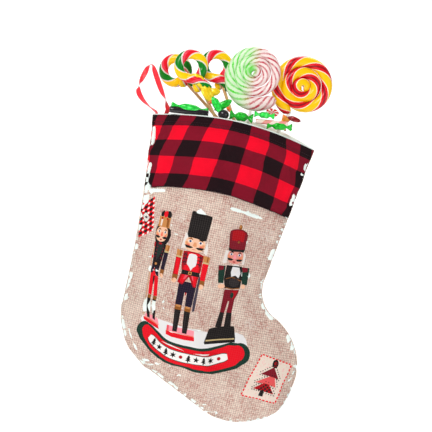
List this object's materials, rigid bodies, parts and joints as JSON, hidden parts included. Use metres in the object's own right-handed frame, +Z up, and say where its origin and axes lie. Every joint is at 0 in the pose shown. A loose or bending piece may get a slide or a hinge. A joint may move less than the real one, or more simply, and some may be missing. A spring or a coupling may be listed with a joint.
{
  "type": "hanging stocking",
  "caption": "Lined fabric stocking with a plaid cuff and burlap leg, a ribbon loop to hang it by, and lollipops and wrapped sweets that lift out.",
  "frame": {"origin": "top of the ribbon loop, where a hook carries it", "axes": "+X from the heel side to the toe side, +Y from the printed front to the back, +Z up along the leg"},
  "size_m": [0.2705, 0.0758, 0.4677],
  "materials": {
    "burlap_print": "printed plain weave, matte",
    "burlap_plain": "plain weave, matte",
    "plaid": "woven buffalo plaid, matte",
    "lining": "smooth white lining",
    "dark_thread": "spun thread",
    "pale_thread": "spun thread",
    "red_satin": "satin ribbon",
    "red_thread": "spun thread",
    "pale_candy": "glossy boiled sugar, pale green, pink and white",
    "gold_candy": "glossy boiled sugar, gold, red and white",
    "loop_candy": "glossy boiled sugar, green, gold, red and white",
    "striped_candy": "glossy red and white striped candy",
    "pink_candy": "glossy pink candy",
    "paper_stick": "rolled paper",
    "wood_stick": "plain birch",
    "green_wrapper": "shiny twist wrapper",
    "orange_foil": "shiny twist wrapper",
    "red_wrapper": "shiny twist wrapper"
  },
  "bodies": {
    "stocking": {"leg_front": "burlap_print", "leg_back": "burlap_plain", "cuff_front": "plaid", "cuff_back": "plaid", "lining_front": "lining", "lining_back": "lining", "hem_stitches_front": "dark_thread", "hem_stitches_back": "dark_thread", "cuff_seam_front": "dark_thread", "cuff_seam_back": "dark_thread", "side_seam_thread": "pale_thread", "ribbon_tails": "red_satin", "ribbon_bartack": "red_thread"},
    "ribbon": {"ribbon_loop": "red_satin"},
    "pale_pop": {"pale_pop_candy": "pale_candy", "pale_pop_stick": "paper_stick"},
    "gold_pop": {"gold_pop_candy": "gold_candy", "gold_pop_stick": "paper_stick", "gold_pop_foil": "orange_foil"},
    "left_pop": {"left_pop_candy": "loop_candy", "left_pop_stick": "wood_stick"},
    "middle_pop": {"middle_pop_candy": "loop_candy", "middle_pop_stick": "wood_stick"},
    "right_pop": {"right_pop_candy": "loop_candy", "right_pop_stick": "wood_stick"},
    "long_wrapped_body": {"long_wrapped_sweet": "green_wrapper"},
    "foil_bow_body": {"foil_bow_sweet": "green_wrapper"},
    "green_wrapped_body": {"green_wrapped_sweet": "green_wrapper"},
    "small_wrapped_body": {"small_wrapped_sweet": "green_wrapper"},
    "striped_mint_body": {"striped_mint": "striped_candy"},
    "candy_stick_body": {"candy_stick": "pink_candy"},
    "red_wrapped_body": {"red_wrapped_sweet": "red_wrapper"}
  },
  "joints": [
    {"name": "ribbon_flop", "type": "hinge", "parent": "stocking", "child": "ribbon", "pos_m": [0.026, 0, -0.057], "axis": [1, 0, 0], "range_deg": [-5, 60], "stiffness_Nm_per_rad": 0.002},
    {"name": "pale_pop_lift", "type": "slide", "parent": "stocking", "child": "pale_pop", "axis": [-0.0523, 0, 0.9986], "range_m": [0, 0.11]},
    {"name": "gold_pop_lift", "type": "slide", "parent": "stocking", "child": "gold_pop", "axis": [0.309, 0, 0.9511], "range_m": [0, 0.11]},
    {"name": "left_pop_lift", "type": "slide", "parent": "stocking", "child": "left_pop", "axis": [-0.809, 0, 0.5878], "range_m": [0, 0.08]},
    {"name": "middle_pop_lift", "type": "slide", "parent": "stocking", "child": "middle_pop", "axis": [-0.6157, 0, 0.788], "range_m": [0, 0.08]},
    {"name": "right_pop_lift", "type": "slide", "parent": "stocking", "child": "right_pop", "axis": [-0.515, 0, 0.8572], "range_m": [0, 0.08]},
    {"name": "long_wrapped_sweet_lift", "type": "slide", "parent": "stocking", "child": "long_wrapped_body", "axis": [0, 0, 1], "range_m": [0, 0.04]},
    {"name": "foil_bow_sweet_lift", "type": "slide", "parent": "stocking", "child": "foil_bow_body", "axis": [0, 0, 1], "range_m": [0, 0.04]},
    {"name": "green_wrapped_sweet_lift", "type": "slide", "parent": "stocking", "child": "green_wrapped_body", "axis": [0, 0, 1], "range_m": [0, 0.04]},
    {"name": "small_wrapped_sweet_lift", "type": "slide", "parent": "stocking", "child": "small_wrapped_body", "axis": [0, 0, 1], "range_m": [0, 0.04]},
    {"name": "striped_mint_lift", "type": "slide", "parent": "stocking", "child": "striped_mint_body", "axis": [0, 0, 1], "range_m": [0, 0.04]},
    {"name": "candy_stick_pull", "type": "slide", "parent": "stocking", "child": "candy_stick_body", "axis": [1, 0, 0], "range_m": [0, 0.04]},
    {"name": "red_wrapped_sweet_lift", "type": "slide", "parent": "stocking", "child": "red_wrapped_body", "axis": [0, 0, 1], "range_m": [0, 0.04]}
  ]
}
